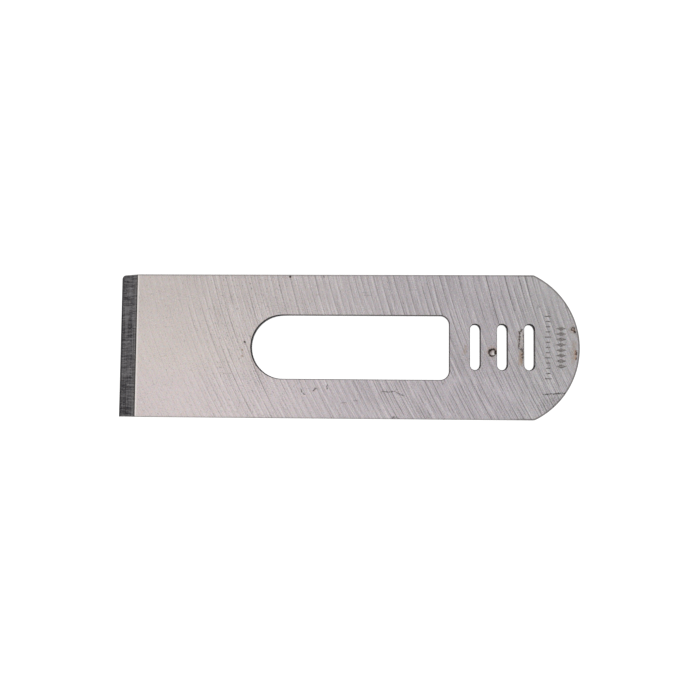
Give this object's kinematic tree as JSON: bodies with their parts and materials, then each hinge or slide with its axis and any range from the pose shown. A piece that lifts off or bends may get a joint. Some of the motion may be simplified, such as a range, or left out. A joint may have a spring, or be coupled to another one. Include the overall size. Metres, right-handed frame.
{
  "type": "block plane iron",
  "caption": "Flat steel cutting iron for a block plane, bevelled at one end and rounded at the other, with a long lever cap slot and cross slots for the depth adjuster.",
  "frame": {"origin": "under the middle of the iron's overall length and width, in the plane of its flat back", "axes": "+X along the iron from the cutting edge to the rounded tail, +Y across it, +Z out of the bevelled upper face"},
  "size_m": [0.112, 0.035, 0.0021],
  "materials": {
    "tool_steel": "hardened tool steel, both faces surface-ground with long curved grinding marks, dark honed bevel, punched slot walls"
  },
  "bodies": {
    "root": {"plane_iron": "tool_steel"}
  },
  "joints": []
}
